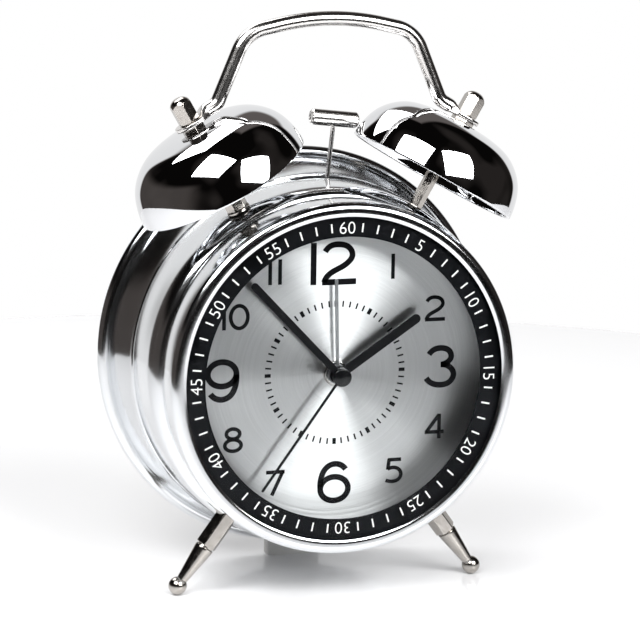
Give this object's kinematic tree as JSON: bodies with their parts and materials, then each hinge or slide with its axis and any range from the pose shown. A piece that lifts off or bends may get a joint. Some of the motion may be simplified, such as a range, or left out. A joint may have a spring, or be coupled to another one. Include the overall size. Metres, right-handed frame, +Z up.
{
  "type": "twin-bell alarm clock",
  "caption": "Chromed twin-bell alarm clock on splayed ball-ended legs, with hammer, arched handle, round dial, setting knobs and a battery lid.",
  "frame": {"origin": "on the resting surface, under the middle of the clock's bounding box", "axes": "+Z up, +X to the right seen from the front, +Y from the dial to the back"},
  "size_m": [0.119, 0.0656, 0.1647],
  "materials": {
    "chrome_case": "mirror chrome plate",
    "chrome_bell": "mirror chrome plate",
    "chrome_trim": "mirror chrome plate",
    "nickel_turned": "turned and nickel plated steel",
    "lens_glass": "clear flat glass",
    "ring_black": "satin black with printed minute scale",
    "dial_brushed": "circular brushed, printed numerals",
    "hand_black": "satin black",
    "hand_silver": "satin",
    "cover_black": "fine moulded texture",
    "knob_black": "semi gloss",
    "switch_white": "semi gloss",
    "movement_plastic": "moulded",
    "gear_plastic": "acetal",
    "steel_plain": "zinc plated",
    "brass_plain": "plain",
    "copper_wire": "enamelled copper winding",
    "board_green": "printed circuit board",
    "magnet_grey": "sintered ferrite",
    "cell_jacket": "plain cell jacket",
    "foot_rubber": "clear silicone, satin"
  },
  "bodies": {
    "clock_case": {"case_shell": "chrome_case", "bezel": "chrome_case", "glass_lens": "lens_glass", "minute_ring": "ring_black", "dial_spacer": "ring_black", "dial_plate": "dial_brushed", "dial_nut": "chrome_trim", "left_bell": "chrome_bell", "right_bell": "chrome_bell", "left_bell_post": "nickel_turned", "right_bell_post": "nickel_turned", "left_acorn_nut": "nickel_turned", "right_acorn_nut": "nickel_turned", "bell_spacer_nuts": "nickel_turned", "post_nuts": "steel_plain", "carry_handle": "chrome_trim", "left_leg": "nickel_turned", "right_leg": "nickel_turned", "leg_nuts": "steel_plain", "rear_foot": "foot_rubber", "rear_cover": "cover_black", "cover_pillars": "brass_plain", "cover_screws": "steel_plain", "battery_cells": "cell_jacket", "battery_contacts": "steel_plain", "switch_body": "movement_plastic", "movement_case": "movement_plastic", "movement_plate": "movement_plastic", "stator": "steel_plain", "motor_coil": "copper_wire", "circuit_board": "board_green", "hammer_bracket": "steel_plain", "pivot_clip": "steel_plain", "coil_core": "steel_plain", "bell_coil": "copper_wire"},
    "time_setter": {"time_set_knob": "knob_black", "minute_wheel": "gear_plastic"},
    "minute_train": {"minute_hand": "hand_black", "cannon_pinion": "brass_plain"},
    "hour_train": {"hour_hand": "hand_black", "hour_wheel": "gear_plastic"},
    "alarm_setter": {"alarm_set_knob": "knob_black", "alarm_set_arbor": "steel_plain"},
    "alarm_train": {"alarm_hand": "hand_silver", "alarm_wheel": "gear_plastic"},
    "second_train": {"second_hand": "hand_black", "hand_cap": "hand_black", "second_wheel": "gear_plastic"},
    "drive_train": {"drive_wheel": "gear_plastic"},
    "rotor_train": {"rotor": "magnet_grey"},
    "hammer": {"hammer_rod": "chrome_trim", "hammer_head": "chrome_trim", "hammer_yoke": "movement_plastic", "hammer_magnet": "magnet_grey"},
    "alarm_slider": {"alarm_switch": "switch_white"},
    "battery_lid": {"battery_door": "cover_black"}
  },
  "joints": [
    {"name": "time_set_spin", "type": "hinge", "parent": "clock_case", "child": "time_setter", "pos_m": [-0.0096, -0.0162, 0.0634], "axis": [0, 1, 0], "continuous": true},
    {"name": "minute_spin", "type": "hinge", "parent": "clock_case", "child": "minute_train", "pos_m": [0, -0.0162, 0.0634], "axis": [0, 1, 0], "continuous": true},
    {"name": "hour_spin", "type": "hinge", "parent": "clock_case", "child": "hour_train", "pos_m": [0, -0.0162, 0.0634], "axis": [0, 1, 0], "continuous": true},
    {"name": "alarm_set_spin", "type": "hinge", "parent": "clock_case", "child": "alarm_setter", "pos_m": [0.0096, -0.0162, 0.0634], "axis": [0, 1, 0], "continuous": true},
    {"name": "alarm_hand_spin", "type": "hinge", "parent": "clock_case", "child": "alarm_train", "pos_m": [0, -0.0162, 0.0634], "axis": [0, 1, 0], "continuous": true},
    {"name": "second_spin", "type": "hinge", "parent": "clock_case", "child": "second_train", "pos_m": [0, -0.0162, 0.0634], "axis": [0, 1, 0], "continuous": true},
    {"name": "drive_spin", "type": "hinge", "parent": "clock_case", "child": "drive_train", "pos_m": [0, -0.0162, 0.0704], "axis": [0, 1, 0], "continuous": true},
    {"name": "rotor_spin", "type": "hinge", "parent": "clock_case", "child": "rotor_train", "pos_m": [0, -0.0162, 0.0764], "axis": [0, 1, 0], "continuous": true},
    {"name": "hammer_swing", "type": "hinge", "parent": "clock_case", "child": "hammer", "pos_m": [0, 0.0036, 0.0874], "axis": [0, 1, 0], "range_deg": [-12, 0]},
    {"name": "alarm_switch_slide", "type": "slide", "parent": "clock_case", "child": "alarm_slider", "axis": [0, 0, -1], "range_m": [0, 0.003]},
    {"name": "battery_door_hinge", "type": "hinge", "parent": "clock_case", "child": "battery_lid", "pos_m": [0, 0.0244, 0.0207], "axis": [-1, 0, 0], "range_deg": [0, 95]}
  ],
  "couplings": [
    {"joint": "minute_spin", "follows": "time_set_spin", "ratio": -3},
    {"joint": "hour_spin", "follows": "time_set_spin", "ratio": -0.25},
    {"joint": "alarm_hand_spin", "follows": "alarm_set_spin", "ratio": -0.25},
    {"joint": "drive_spin", "follows": "second_spin", "ratio": -6},
    {"joint": "rotor_spin", "follows": "second_spin", "ratio": 30}
  ]
}
